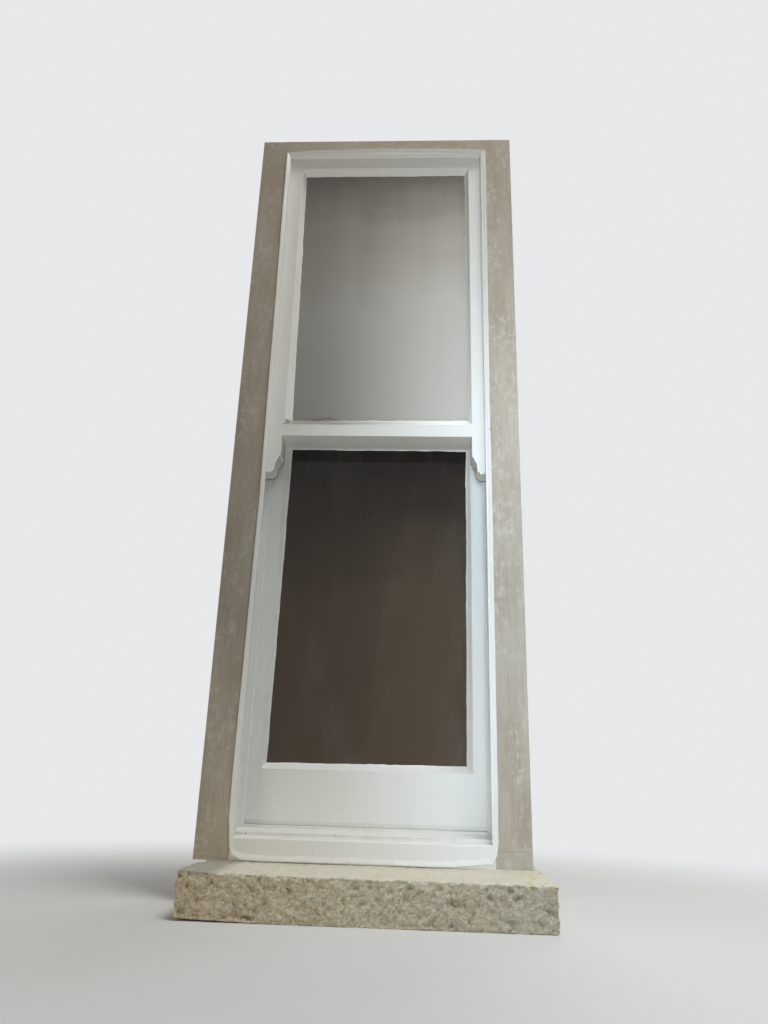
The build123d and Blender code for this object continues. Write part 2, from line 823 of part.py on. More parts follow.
def lift_screws(x):
    reach = lift_w / 2 - lift_corner_r - screw_head_r
    place = (lower_y + sash_t + lift_t, lift_foot + lift_h - 9.0)
    return [((x + side, *place), (0, -1, 0), lift_screw_l) for side in (-reach, reach)]


def make_lift(x):
    """Hook lift: a plate with a hooked finger grip turned up in front of it."""
    face_y = lower_y + sash_t
    foot = lift_foot
    plate = board((x - lift_w / 2, x + lift_w / 2), (face_y, face_y + lift_t), (foot, foot + lift_h))
    plate = drilled(fillet(plate.edges().filter_by(Axis.Y), lift_corner_r), lift_screws(x))
    r = lift_reach / 2
    mid = (face_y + lift_t / 2 + r, foot + r + 4)
    bend = ThreePointArc((x, mid[0] - r, mid[1]), (x, mid[0], mid[1] - r), (x, mid[0] + r, mid[1]))
    tip = Line((x, mid[0] + r, mid[1]), (x, mid[0] + r, mid[1] + 8))
    outline = Plane((x, mid[0] - r, mid[1]), x_dir=(1, 0, 0), z_dir=(0, 0, -1)) * Rectangle(lift_w * 0.8, lift_t)
    hook = sweep(outline, path=Wire([bend, tip]))
    return plate + hook


def build_nodes():
    nodes = {}
    sill = make_timber_sill()
    sides = {"right": lambda s: s, "left": other_side}
    nodes["stone_sill"] = make_stone_sill()
    nodes["timber_sill"] = sill
    nodes["head_board"] = make_head_board()
    nodes["outer_lining_head"] = make_outer_lining_head()
    nodes["inner_lining_head"] = make_inner_lining_head()
    nodes["parting_bead_head"] = make_parting_bead_head()
    nodes["staff_bead_head"] = make_staff_bead_head()
    nodes["staff_bead_sill"] = make_staff_bead_sill()
    nodes["mastic_bead"] = make_mastic()
    nodes["upper_top_rail"] = make_top_rail()
    nodes["upper_meeting_rail"] = make_upper_meeting_rail()
    nodes["upper_glass"] = make_glass(upper_y, meet_arris + glass_play, top_arris - glass_play)
    nodes["upper_putty"] = make_putty(upper_y, meet_arris, top_arris, rail_rebate_h, rebate_w)
    foot = make_sill_foot()
    nodes["lower_meeting_rail"] = make_lower_meeting_rail()
    nodes["lower_bottom_rail"] = make_bottom_rail(foot)
    glass_top = meet_low + glass_groove_d - 1
    nodes["lower_glass"] = make_glass(lower_y, bottom_arris + glass_play, glass_top)
    nodes["lower_putty"] = make_putty(lower_y, bottom_arris, meet_low, rail_rebate_h, 0.0)
    pairs = {
        "outer_lining": make_outer_lining(sill),
        "inner_lining": make_inner_lining(),
        "back_lining": make_back_lining(sill),
        "pulley_stile": make_pulley_stile(sill),
        "pocket_piece": make_pocket_piece(),
        "parting_bead": make_parting_bead(sill),
        "staff_bead": make_staff_bead(),
        "upper_stile": make_upper_stile(),
        "lower_stile": make_lower_stile(foot),
    }
    low_weight_top = high_weight_top - upper_travel
    pairs["upper_pulley_case"] = make_pulley_case(upper_mid)
    pairs["lower_pulley_case"] = make_pulley_case(lower_mid)
    pairs["upper_pulley_wheel"] = make_pulley_wheel(upper_mid)
    pairs["lower_pulley_wheel"] = make_pulley_wheel(lower_mid)
    pairs["upper_cord"] = make_cord(upper_mid, upper_top, low_weight_top)
    pairs["lower_cord"] = make_cord(lower_mid, meet_top, high_weight_top)
    pairs["upper_weight"] = make_weight(upper_mid, low_weight_top, upper_weight_l)
    pairs["lower_weight"] = make_weight(lower_mid, high_weight_top, lower_weight_l)
    for name, solid in pairs.items():
        for side, place in sides.items():
            nodes[f"{name}_{side}"] = place(solid)
    axles = [axle(upper_mid), axle(lower_mid)]
    axles += [other_side(a) for a in axles]
    nodes["pulley_axles"] = group(axles)
    right_screws = [screw(*s) for y in (upper_mid, lower_mid) for s in case_screws(y)]
    nodes["pulley_screws"] = group(right_screws + [other_side(s) for s in right_screws])
    on_sash = base_screws() + lift_screws(lift_x) + lift_screws(-lift_x)
    nodes["lower_sash_screws"] = group([screw(*s) for s in on_sash])
    nodes["keep_screws"] = group([screw(*s) for s in keep_screws()])
    nodes["fastener_base"] = make_fastener_base()
    nodes["fastener_lever"] = make_fastener_lever()
    nodes["fastener_keep"] = make_fastener_keep()
    nodes["sash_lift_right"] = make_lift(lift_x)
    nodes["sash_lift_left"] = make_lift(-lift_x)
    return nodes


def write_nodes(nodes):
    os.makedirs("parts", exist_ok=True)
    for name, solid in nodes.items():
        export_step(solid, f"parts/{name}.step")


write_nodes(build_nodes())
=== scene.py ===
import json
import math

import bmesh
import bpy
from mathutils import Matrix, Vector, noise


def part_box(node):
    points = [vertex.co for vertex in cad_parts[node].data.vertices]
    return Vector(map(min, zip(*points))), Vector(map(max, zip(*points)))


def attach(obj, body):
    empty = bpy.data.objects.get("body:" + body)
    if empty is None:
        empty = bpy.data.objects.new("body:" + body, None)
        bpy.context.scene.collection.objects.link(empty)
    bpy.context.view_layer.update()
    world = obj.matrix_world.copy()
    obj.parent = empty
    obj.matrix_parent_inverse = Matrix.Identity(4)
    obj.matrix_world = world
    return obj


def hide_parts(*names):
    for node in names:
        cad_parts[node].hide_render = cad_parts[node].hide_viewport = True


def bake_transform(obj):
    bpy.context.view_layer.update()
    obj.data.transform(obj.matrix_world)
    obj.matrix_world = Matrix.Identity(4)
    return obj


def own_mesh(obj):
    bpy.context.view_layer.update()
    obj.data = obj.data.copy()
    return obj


# Painted sash window on its stone sub-sill, in metres. X runs across it, Y into the room and Z up.

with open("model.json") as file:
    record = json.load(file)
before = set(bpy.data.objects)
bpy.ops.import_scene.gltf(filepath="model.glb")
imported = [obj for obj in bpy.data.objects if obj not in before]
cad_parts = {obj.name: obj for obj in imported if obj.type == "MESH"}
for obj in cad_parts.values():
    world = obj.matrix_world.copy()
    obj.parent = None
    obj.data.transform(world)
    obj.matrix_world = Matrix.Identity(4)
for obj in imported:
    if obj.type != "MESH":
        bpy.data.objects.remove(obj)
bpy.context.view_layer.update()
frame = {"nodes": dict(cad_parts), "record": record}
NODES = frame["nodes"]


# Finishes


class Value:
    """A socket of a finish, so that sums over a surface read as sums."""

    def __init__(self, finish, socket):
        self.finish = finish
        self.socket = socket

    def maths(self, operation, *terms):
        return self.finish.node("ShaderNodeMath", {"operation": operation}, dict(enumerate(terms)))

    def __add__(self, other):
        return self.maths("ADD", self, other)

    __radd__ = __add__

    def __mul__(self, other):
        return self.maths("MULTIPLY", self, other)

    __rmul__ = __mul__

    def __sub__(self, other):
        return self.maths("SUBTRACT", self, other)

    def __rsub__(self, other):
        return self.maths("SUBTRACT", other, self)

    def __truediv__(self, other):
        return self.maths("DIVIDE", self, other)

    def __abs__(self):
        return self.maths("ABSOLUTE", self)

    def power(self, exponent):
        return self.maths("POWER", self, exponent)

    def at_least(self, other):
        return self.maths("MAXIMUM", self, other)

    def rise(self, low, high):
        """0 below low, 1 above high and smooth between. With low above high it falls instead."""
        turned = low > high
        settings = {"interpolation_type": "SMOOTHSTEP"}
        ends = {"From Min": min(low, high), "From Max": max(low, high)}
        step = self.finish.node("ShaderNodeMapRange", settings, {"Value": self, **ends})
        return 1 - step if turned else step


class Finish:
    """A material with the nodes that vary it over the surface."""

    def __init__(self, name, **fixed):
        self.material = bpy.data.materials.new(name)
        self.material.use_nodes = True
        self.tree = self.material.node_tree
        self.shader = next(n for n in self.tree.nodes if n.type == "BSDF_PRINCIPLED")
        for socket, value in fixed.items():
            self.shader.inputs[socket.replace("_", " ")].default_value = value
        self.spot = self.node("ShaderNodeTexCoord", output="Object")
        parts = self.node("ShaderNodeSeparateXYZ", inputs={0: self.spot}).socket.node
        self.x, self.y, self.z = [Value(self, parts.outputs[i]) for i in range(3)]

    def node(self, kind, settings=None, inputs=None, output=0):
        made = self.tree.nodes.new(kind)
        for key, setting in (settings or {}).items():
            if key == "stops":
                self.set_stops(made.color_ramp, setting)
            else:
                setattr(made, key, setting)
        for key, value in (inputs or {}).items():
            if isinstance(value, Value):
                self.tree.links.new(value.socket, made.inputs[key])
            else:
                made.inputs[key].default_value = value
        return Value(self, made.outputs[output])

    def set_stops(self, ramp, stops):
        while len(ramp.elements) < len(stops):
            ramp.elements.new(0.5)
        for element, (place, colour) in zip(ramp.elements, stops):
            element.position = place
            element.color = (*colour, 1.0)

    def stretched(self, scale, shift=(0.0, 0.0, 0.0)):
        inputs = {"Vector": self.spot, "Scale": scale, "Location": shift}
        return self.node("ShaderNodeMapping", inputs=inputs)

    def grain(self, scale, size=1.0, detail=3.0, rough=0.5, shift=(0.0, 0.0, 0.0), warp=0.0):
        inputs = {"Vector": self.stretched(scale, shift), "Scale": size, "Detail": detail}
        inputs.update({"Roughness": rough, "Distortion": warp})
        return self.node("ShaderNodeTexNoise", inputs=inputs)

    def cells(self, scale, output="Distance"):
        inputs = {"Vector": self.stretched(scale), "Scale": 1.0}
        return self.node("ShaderNodeTexVoronoi", inputs=inputs, output=output)

    def tones(self, scale):
        """A brightness for each cell, by chance."""
        return self.node("ShaderNodeRGBToBW", inputs={0: self.cells(scale, "Color")})

    def near(self, point, radius):
        """1 close to a point and 0 a radius away, with a soft edge."""
        settings = {"operation": "DISTANCE"}
        away = self.node("ShaderNodeVectorMath", settings, {0: self.spot, 1: point}, "Value")
        return away.rise(radius, radius * 0.7)

    def spots(self, places):
        """1 in each of some small round places, given as a point and a radius."""
        found = self.near(*places[0])
        for point, radius in places[1:]:
            found = found.at_least(self.near(point, radius))
        return found

    def ramp(self, factor, stops):
        return self.node("ShaderNodeValToRGB", {"stops": stops}, {"Fac": factor})

    def mix(self, factor, first, second):
        inputs = {"Factor": factor}
        for key, colour in ((6, first), (7, second)):
            inputs[key] = colour if isinstance(colour, Value) else (*colour, 1.0)
        return self.node("ShaderNodeMix", {"data_type": "RGBA"}, inputs, 2)

    def bump(self, height, distance, strength):
        inputs = {"Height": height, "Distance": distance, "Strength": strength}
        return self.node("ShaderNodeBump", inputs=inputs)

    def into(self, **sockets):
        """The material, once its shader takes these values."""
        for key, value in sockets.items():
            target = self.shader.inputs[key.replace("_", " ")]
            self.tree.links.new(value.socket, target)
        return self.material


# Axes that boards run along
ACROSS = 0
UPRIGHT = 2


def along(axis, fine, coarse):
    """Scales for marks that run along one axis."""
    return tuple(coarse if i == axis else fine for i in range(3))


# Faces that the paint keeps to
LINING_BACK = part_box("outer_lining_right")[1].y
STILE_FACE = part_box("pulley_stile_right")[0].x
ROOM_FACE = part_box("inner_lining_right")[1].y
# On the street's linings it ends under the mastic bead, here at the sides and at the middle of the head,
# from where its edge drops to both sides
PAINT_EDGE = 0.2385
PAINT_HEAD = 1.6805
PAINT_CAMBER = 0.13
# It ends a little past the stiles' faces, and the room's paint laps round the inner linings' edges
PAST_STILE = 0.0005
ROOM_LAP = 0.0025


def never_painted(f):
    """1 outside the mastic bead, where the frame never had paint, and 0 where it was painted."""
    ragged = (f.grain((90, 90, 90), detail=3) - 0.5) * 0.0015
    back = f.y.rise(LINING_BACK - 0.0001, LINING_BACK + 0.0001)
    line = back * (STILE_FACE + PAST_STILE - PAINT_EDGE) + PAINT_EDGE
    beside = (abs(f.x) + ragged - line).rise(0.0, 0.0004)
    cambered = PAINT_HEAD - f.x * f.x * PAINT_CAMBER
    above = (f.z + ragged - cambered).rise(0.0, 0.0004) * (1 - back)
    lapped = ROOM_FACE - ROOM_LAP
    return beside.at_least(above) * f.y.rise(lapped + 0.0005, lapped)


def unpainted(f, axis):
    """Colour of the frame's hidden timber: greyed softwood with a bloom of lime."""
    fibre = f.grain(along(axis, 900, 9), detail=5, rough=0.65, shift=(4, 4, 8))
    age = f.grain(along(axis, 16, 4), detail=5, rough=0.6, shift=(7, 2, 5))
    lime = f.grain((75, 75, 48), detail=7, rough=0.75, shift=(1, 3, 9))
    bloom = f.grain(along(axis, 22, 9), detail=4, rough=0.6, shift=(8, 8, 2))
    wood = f.mix(age.rise(0.3, 0.7), (0.40, 0.345, 0.27), (0.50, 0.455, 0.385))
    lined = f.mix(fibre.rise(0.42, 0.70) * 0.55, wood, (0.27, 0.22, 0.16))
    smear = lime.rise(0.46, 0.62) * bloom.rise(0.40, 0.60)
    return f.mix(smear * 0.62, lined, (0.60, 0.575, 0.52)), fibre, lime


# Underside of the upper meeting rail, back face of the upper sash, and the step at the timber sill's top
RAIL_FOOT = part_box("upper_meeting_rail")[0].z
SASH_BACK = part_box("upper_stile_left")[1].y
LEDGE_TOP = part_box("timber_sill")[1].z - 0.0015
LEDGE_FOOT = LEDGE_TOP - 0.0225

# Old nail holes in the underside of the upper meeting rail, and grit caught in the paint of the sill
NAIL_HOLES = (
    ((0.1231, 0.0690, RAIL_FOOT), 0.0011),
    ((0.1571, 0.0606, RAIL_FOOT), 0.0013),
    ((0.1889, 0.0555, RAIL_FOOT), 0.0014),
)
SILL_GRIT = (
    ((-0.2150, 0.021, 0.1155), 0.0018),
    ((-0.0527, 0.021, 0.1170), 0.0017),
    ((0.1040, 0.021, 0.1150), 0.0009),
)


def horn_flakes_and_gap_shade(f):
    """1 along the back edge of the horns, where a dark ragged line is painted shade of the gap to the lower
    sash, and where paint has flaked off.
    """
    ragged = f.grain((95, 95, 120), detail=4, rough=0.6, shift=(6, 3, 3))
    edge = f.y.rise(SASH_BACK - 0.0062, SASH_BACK - 0.0030) * ragged.rise(0.34, 0.48)
    flake = f.grain((55, 55, 48), detail=3, shift=(1, 7, 4)).rise(0.60, 0.625) * f.y.rise(0.030, 0.040)
    return edge.at_least(flake * 0.35) * f.z.rise(RAIL_FOOT + 0.002, RAIL_FOOT - 0.003)


def gloss_paint(name, axis, hidden=True, marks=(), horned=False):
    """Many coats of white gloss, brushed along the board and dulled by soot. Hidden parts stay bare."""
    f = Finish(name, Specular_IOR_Level=0.45)
    brush = f.grain(along(axis, 620, 14), detail=4, rough=0.6)
    broad_brush = f.grain(along(axis, 170, 5), detail=2, shift=(3, 1, 2))
    orange_peel = f.grain((420, 420, 420), detail=2)
    sag = f.grain((38, 38, 26), detail=3, shift=(5, 2, 7))
    bits = f.cells((260, 260, 260)).rise(0.17, 0.05) * f.grain((35, 35, 35)).rise(0.56, 0.66)
    patch = f.grain((9, 9, 5), detail=4, rough=0.6, shift=(1, 8, 3))
    soot = f.grain((60, 60, 22), detail=5, rough=0.65, shift=(9, 4, 1))
    ledge = f.z.rise(LEDGE_FOOT, LEDGE_FOOT + 0.0015) * f.z.rise(LEDGE_TOP, LEDGE_TOP - 0.0055)
    foot = ledge * (soot.rise(0.40, 0.70) * 0.6 + 0.4)
    yellow = f.mix(patch.rise(0.35, 0.7) * 0.45, (0.81, 0.82, 0.80), (0.79, 0.785, 0.73))
    greyed = f.mix(soot.rise(0.55, 0.9) * 0.20, yellow, (0.58, 0.57, 0.51))
    dirty = f.mix(foot * 0.35, greyed, (0.60, 0.55, 0.44))
    sooty = f.grain((14, 14, 9), shift=(2, 2, 2)).rise(0.58, 0.7)
    specks = f.cells((150, 150, 150)).rise(0.10, 0.04) * sooty
    colour = f.mix(specks * 0.4, dirty, (0.32, 0.30, 0.26))
    if marks:
        colour = f.mix(f.spots(marks), colour, (0.07, 0.06, 0.05))
    if horned:
        # Dark along the back of the horns: painted shade of the gap to the lower sash, with flaked paint
        colour = f.mix(horn_flakes_and_gap_shade(f) * 0.9, colour, (0.15, 0.13, 0.10))
    height = brush * 0.25 + broad_brush * 0.45 + orange_peel * 0.10 + sag * 1.3 + bits * 0.8
    dull = soot * 0.20 + broad_brush * 0.10 + 0.20
    if hidden:
        bare = never_painted(f)
        timber, fibre, lime = unpainted(f, axis)
        colour = f.mix(bare, colour, timber)
        height = height * (1 - bare) + (fibre * 0.9 + lime * 1.2) * bare
        dull = dull * (1 - bare) + bare * 0.8
    return f.into(Base_Color=colour, Roughness=dull, Normal=f.bump(height, 0.0006, 0.75))


# Chips in the mastic bead: at its top left corner, beside the meeting rail, and at its right foot
BEAD_CHIPS = (
    ((-0.2439, -0.003, 1.6780), 0.0030),
    ((-0.2368, -0.003, 1.6793), 0.0028),
    ((-0.2169, -0.002, 1.6812), 0.0020),
    ((-0.2082, -0.002, 1.6822), 0.0022),
    ((-0.1931, -0.002, 1.6824), 0.0012),
    ((0.2440, -0.002, 0.9260), 0.0030),
    ((0.2380, -0.002, 0.0790), 0.0020),
)
# Height of the upper sash's putty's foot, where a dark line is painted shade under its arris, and of the
# middle of the band above it, painted darker as shade
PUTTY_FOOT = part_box("upper_putty")[0].z
DARK_PUTTY = PUTTY_FOOT + 0.0070


def painted_putty(name):
    """Putty struck off by hand, under the same gloss."""
    f = Finish(name, Specular_IOR_Level=0.45)
    strokes = f.grain((90, 90, 90), detail=3, warp=0.6)
    lumps = f.grain((330, 330, 330), detail=3)
    patch = f.grain((12, 12, 7), detail=4, shift=(4, 4, 1))
    soot = f.grain((70, 70, 30), detail=5, rough=0.7, shift=(2, 7, 5))
    white = f.mix(patch.rise(0.3, 0.7) * 0.5, (0.82, 0.83, 0.81), (0.78, 0.77, 0.71))
    colour = f.mix(soot.rise(0.52, 0.85) * 0.30, white, (0.52, 0.51, 0.45))
    # Painted shade: the band just above the foot of the upper putty is darker, more so to the left
    darkened_strip = abs(f.z - DARK_PUTTY).rise(0.0075, 0.0055) * abs(f.x).rise(0.203, 0.199)
    colour = f.mix(darkened_strip * f.x.rise(0.16, -0.14), colour, (0.36, 0.34, 0.295))
    # Painted shade: a dark line under the upper putty's arris, towards the left, joined to the chips
    shade_line = abs(f.z - PUTTY_FOOT).rise(0.0019, 0.0009) * f.x.rise(0.06, -0.12)
    shade_line = shade_line * abs(f.x).rise(0.207, 0.203)
    chips_and_shade_line = f.spots(BEAD_CHIPS).at_least(shade_line * soot.rise(0.25, 0.50) * 0.85)
    chipped_and_shaded = f.mix(chips_and_shade_line, colour, (0.13, 0.105, 0.08))
    height = strokes * 1.3 + lumps * 0.35 - chips_and_shade_line * 1.5
    return f.into(Base_Color=chipped_and_shaded, Roughness=soot * 0.2 + 0.22, Normal=f.bump(height, 0.0007, 0.8))


def bare_timber(name, axis):
    """Sawn softwood that never had paint, gone brown and dusty."""
    f = Finish(name)
    rings = f.grain(along(axis, 55, 2.2), detail=3, warp=1.4)
    fibre = f.grain(along(axis, 900, 12), detail=4, rough=0.6)
    saw = f.grain(along(axis, 30, 520), detail=1)
    knots = f.cells(along(axis, 9, 2.6)).rise(0.16, 0.05)
    dust = f.grain((16, 16, 7), detail=5, rough=0.65)
    shades = [(0.30, (0.30, 0.20, 0.115)), (0.48, (0.42, 0.30, 0.18)), (0.62, (0.34, 0.235, 0.14))]
    wood = f.ramp(rings, shades)
    streaked = f.mix(fibre.rise(0.35, 0.75) * 0.5, wood, (0.22, 0.145, 0.085))
    knotty = f.mix(knots * 0.8, streaked, (0.12, 0.07, 0.04))
    colour = f.mix(dust.rise(0.4, 0.75) * 0.55, knotty, (0.42, 0.38, 0.32))
    height = fibre * 0.8 + saw * 0.5 + rings * 0.4
    return f.into(Base_Color=colour, Roughness=dust * 0.2 + 0.68, Normal=f.bump(height, 0.0005, 0.9))


STONE_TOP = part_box("stone_sill")[1].z


def sill_stone(name):
    """Coarse gritty stone, pitted, with a smoother top whose paler colour is painted light from above."""
    f = Finish(name)
    tone = f.tones((420, 420, 420))
    grains = f.cells((420, 420, 420))
    pebble_tone = f.tones((150, 150, 190))
    pebble_edge = f.cells((150, 150, 190))
    cloud = f.grain((11, 11, 11), detail=5, rough=0.6)
    fine = f.grain((800, 800, 800), detail=3)
    stain = f.grain((55, 55, 75), detail=5, rough=0.65, shift=(3, 9, 4))
    lumps = f.grain((170, 170, 200), detail=5, rough=0.7, shift=(2, 5, 5))
    shades = [(0.30, (0.78, 0.675, 0.475)), (0.50, (0.86, 0.76, 0.55)), (0.70, (0.89, 0.81, 0.61))]
    base = f.ramp(cloud, shades)
    grained = f.mix(tone.rise(0.35, 0.80) * 0.35, base, (0.78, 0.70, 0.56))
    darker = f.mix(tone.rise(0.40, 0.22) * 0.20, grained, (0.32, 0.27, 0.19))
    pebbled = f.mix(pebble_tone.rise(0.66, 0.74) * 0.40, darker, (0.76, 0.71, 0.60))
    # Darker in the relief's hollows and in the gaps round the pebbles: painted shade
    hollows_shaded = f.mix(lumps.rise(0.50, 0.36) * 0.50, pebbled, (0.33, 0.27, 0.19))
    gaps_shaded = f.mix(pebble_edge.rise(0.50, 0.80) * 0.35, hollows_shaded, (0.30, 0.25, 0.18))
    paler = f.mix(pebble_tone.rise(0.62, 0.80) * 0.50, gaps_shaded, (0.92, 0.86, 0.71))
    weathered = f.x.rise(-0.12, 0.32) * 0.26
    worn = f.mix(stain.rise(0.58, 0.78) * 0.35 + weathered, paler, (0.38, 0.33, 0.245))
    # The top is painted paler: painted light from above
    top = f.z.rise(STONE_TOP - 0.007, STONE_TOP - 0.002)
    topped = f.mix(top * 0.78, worn, (0.79, 0.75, 0.635))
    grubby = f.grain((120, 120, 120), detail=5, rough=0.7, shift=(6, 2, 8)).rise(0.46, 0.62)
    # The top is darker towards the frame, and in grubby patches
    darkened_strip = f.y.rise(-0.060, -0.002)
    topped = f.mix(top * (grubby * 0.30 + darkened_strip * 0.28), topped, (0.44, 0.42, 0.345))
    corner = top * f.x.rise(-0.20, -0.235) * 0.6
    shaded = f.mix(corner, topped, (0.22, 0.20, 0.16))
    lichen = f.x.rise(0.25, 0.29) * f.z.rise(STONE_TOP - 0.015, STONE_TOP - 0.005)
    growth = lichen * f.grain((60, 60, 60), detail=4).rise(0.50, 0.62)
    colour = f.mix(growth * 0.6, shaded, (0.50, 0.45, 0.14))
    pits = f.cells((230, 230, 230)).rise(0.20, 0.04) * f.grain((40, 40, 40)).rise(0.46, 0.60)
    rough = grains * 0.5 + tone * 0.5 + fine * 0.3 - pits * 2.0 - pebble_edge * 1.6 + lumps * 1.8
    height = rough * (1 - top * 0.8)
    return f.into(Base_Color=colour, Roughness=cloud * 0.15 + 0.80, Normal=f.bump(height, 0.0030, 1.0))


# Hairline where paint has lifted at the foot of the upper pane: it climbs to a peak and drops again
HAIRLINE_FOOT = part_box("upper_meeting_rail")[1].z
HAIRLINE_PEAK = (-0.104, 0.0088)
HAIRLINE_SPAN = (-0.190, -0.078)


def hairline(f):
    """1 on the lifted line of paint along the upper pane's foot."""
    peak_x, peak_h = HAIRLINE_PEAK
    start, end = HAIRLINE_SPAN
    climb = f.x.rise(start + 0.02, peak_x) * f.x.rise(end, peak_x)
    ragged = (f.grain((160, 160, 160), detail=2) - 0.5) * 0.0022
    line = climb.power(1.6) * peak_h + HAIRLINE_FOOT + ragged
    along_it = f.x.rise(start - 0.004, start) * f.x.rise(end + 0.002, end)
    return abs(f.z - line).rise(0.0011, 0.0004) * along_it


UPPER_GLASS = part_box("upper_glass")
LOWER_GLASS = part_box("lower_glass")
# Shades of each pane at shares of its height: their darker heads are painted shade and reflection of what
# stands above each pane
PALE_SHADES = [
    (0.0, (0.50, 0.49, 0.45)),
    (0.45, (0.58, 0.565, 0.525)),
    (0.78, (0.44, 0.405, 0.355)),
    (0.93, (0.28, 0.25, 0.208)),
]
DARK_SHADES = [
    (0.0, (0.078, 0.053, 0.034)),
    (0.5, (0.080, 0.055, 0.034)),
    (0.95, (0.012, 0.009, 0.008)),
]


def pane(name, glass, shades, streaks, shine, left_shade=1.0, lifted=False):
    """Old drawn glass under dust, in shades from its foot up, darker at its head as painted shade. A
    left_shade below 1 paints shade on its left.
    """
    low, high = glass[0].z, glass[1].z
    f = Finish(name, IOR=1.5, Specular_IOR_Level=shine)
    drawn = f.grain((3, 3, 11), detail=2)
    film = f.grain((14, 14, 5), detail=5, rough=0.55, shift=(6, 1, 3))
    folds = f.grain((11, 11, 0.9), detail=2, shift=(1, 5, 2))
    depth = (f.z - low) / (high - low) + (folds - 0.5) * 0.25 + (drawn - 0.5) * 0.2
    ground = f.ramp(depth, shades)
    # Painted shade: darker towards the left, by left_shade
    ground = f.mix(f.x.rise(-0.22, 0.18), f.mix(left_shade, (0.0, 0.0, 0.0), ground), ground)
    fold = tuple(part * 0.62 for part in shades[0][1])
    streaked = f.mix(folds.rise(0.40, 0.70) * streaks, ground, fold)
    colour = f.mix(film.rise(0.45, 0.85) * 0.04, streaked, (0.55, 0.52, 0.46))
    edge = (f.z - low).rise(0.030, 0.012) * film.rise(0.35, 0.65)
    colour = f.mix(edge * 0.22, colour, (0.10, 0.085, 0.065))
    if lifted:
        colour = f.mix(hairline(f) * 0.85, colour, (0.05, 0.04, 0.03))
    dull = film.rise(0.35, 0.9) * 0.10 + 0.05
    return f.into(Base_Color=colour, Roughness=dull, Normal=f.bump(drawn, 0.0009, 0.25))


def aged_brass(name):
    """Cast brass gone brown, rubbed bright in places."""
    f = Finish(name, Metallic=1.0)
    tarnish = f.grain((130, 130, 130), detail=5, rough=0.65)
    scratches = f.grain((1500, 90, 400), detail=2)
    shades = [(0.32, (0.20, 0.12, 0.05)), (0.50, (0.45, 0.30, 0.12)), (0.68, (0.62, 0.45, 0.20))]
    colour = f.ramp(tarnish, shades)
    height = tarnish * 0.5 + scratches * 0.3
    return f.into(Base_Color=colour, Roughness=0.62 - tarnish * 0.35, Normal=f.bump(height, 0.0002, 0.6))


def rough_iron(name):
    """Sand-cast iron with rust."""
    f = Finish(name)
    sand = f.grain((420, 420, 420), detail=4, rough=0.65)
    rust = f.grain((34, 34, 12), detail=5, rough=0.65, shift=(2, 6, 1))
    shade = f.mix(sand.rise(0.35, 0.7) * 0.6, (0.075, 0.07, 0.068), (0.15, 0.14, 0.13))
    colour = f.mix(rust.rise(0.48, 0.66) * 0.85, shade, (0.23, 0.095, 0.035))
    bare = 1 - rust.rise(0.42, 0.60)
    dull = 0.78 - bare * 0.25
    return f.into(Base_Color=colour, Metallic=bare * 0.7, Roughness=dull, Normal=f.bump(sand, 0.0007, 0.9))


def dull_steel(name):
    """Worn grey steel of the pulleys' rivets."""
    f = Finish(name, Metallic=1.0)
    wear = f.grain((300, 900, 300), detail=3)
    colour = f.ramp(wear, [(0.35, (0.20, 0.18, 0.16)), (0.65, (0.45, 0.43, 0.41))])
    return f.into(Base_Color=colour, Roughness=0.55 - wear * 0.2, Normal=f.bump(wear, 0.0002, 0.5))


def waxed_cotton(name):
    """Braided cord, soiled by the boxes' dust."""
    f = Finish(name, Specular_IOR_Level=0.2)
    yarn = f.grain((1900, 1900, 900), detail=2)
    soil = f.grain((50, 50, 14), detail=4, shift=(3, 2, 8))
    clean = f.mix(yarn.rise(0.3, 0.7) * 0.5, (0.50, 0.44, 0.33), (0.64, 0.59, 0.48))
    colour = f.mix(soil.rise(0.45, 0.75) * 0.6, clean, (0.24, 0.19, 0.13))
    return f.into(Base_Color=colour, Roughness=yarn * 0.1 + 0.8, Normal=f.bump(yarn, 0.0004, 0.8))


PAINT_UP = gloss_paint("white_gloss_brushed_upright", UPRIGHT, hidden=False)
PAINT_HORNS = gloss_paint("white_gloss_on_horned_stiles", UPRIGHT, hidden=False, horned=True)
PAINT_ACROSS = gloss_paint("white_gloss_brushed_across", ACROSS, hidden=False, marks=NAIL_HOLES)
FRAME_UP = gloss_paint("frame_gloss_brushed_upright", UPRIGHT)
FRAME_ACROSS = gloss_paint("frame_gloss_brushed_across", ACROSS, marks=SILL_GRIT)
PUTTY = painted_putty("painted_putty")
TIMBER_UP = bare_timber("bare_softwood_upright", UPRIGHT)
TIMBER_ACROSS = bare_timber("bare_softwood_across", ACROSS)
STONE = sill_stone("sill_stone")
BRASS = aged_brass("aged_brass")
IRON = rough_iron("rough_iron")
STEEL = dull_steel("dull_steel")
COTTON = waxed_cotton("waxed_cotton")
UPPER_PANE = pane("pale_pane", UPPER_GLASS, PALE_SHADES, 0.06, shine=0.5, left_shade=0.5, lifted=True)
LOWER_PANE = pane("dark_pane", LOWER_GLASS, DARK_SHADES, 0.25, shine=0.25)


